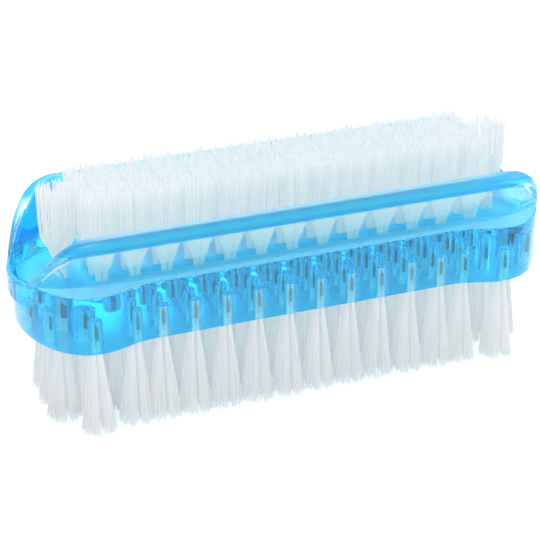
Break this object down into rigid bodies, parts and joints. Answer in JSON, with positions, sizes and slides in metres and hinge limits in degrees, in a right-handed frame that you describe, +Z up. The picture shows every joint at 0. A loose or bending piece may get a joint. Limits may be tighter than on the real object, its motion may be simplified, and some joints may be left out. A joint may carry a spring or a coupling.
{
  "type": "nail brush",
  "caption": "Double-sided nail brush: a waisted clear plastic block with a flared, rimmed channel on top, and straight filament tufts in rows on both faces.",
  "frame": {"origin": "centre of the plane of the trimmed lower tips, on which the brush stands", "axes": "+X along the brush, +Y across it, +Z up, towards the channel"},
  "size_m": [0.095, 0.0306, 0.0399],
  "materials": {
    "clear_cyan_plastic": "clear moulded cyan plastic, polished",
    "white_nylon": "translucent white nylon filament",
    "anchor_steel": "drawn flat anchor wire"
  },
  "bodies": {
    "root": {"body": "clear_cyan_plastic", "bottom_tufts_row_1": "white_nylon", "bottom_tufts_row_2": "white_nylon", "bottom_tufts_row_3": "white_nylon", "bottom_tufts_row_4": "white_nylon", "bottom_tufts_row_5": "white_nylon", "top_tufts_row_1": "white_nylon", "top_tufts_row_2": "white_nylon", "top_tufts_row_3": "white_nylon", "bottom_anchors_row_1": "anchor_steel", "bottom_anchors_row_2": "anchor_steel", "bottom_anchors_row_3": "anchor_steel", "bottom_anchors_row_4": "anchor_steel", "bottom_anchors_row_5": "anchor_steel", "top_anchors_row_1": "anchor_steel", "top_anchors_row_2": "anchor_steel", "top_anchors_row_3": "anchor_steel"}
  },
  "joints": []
}
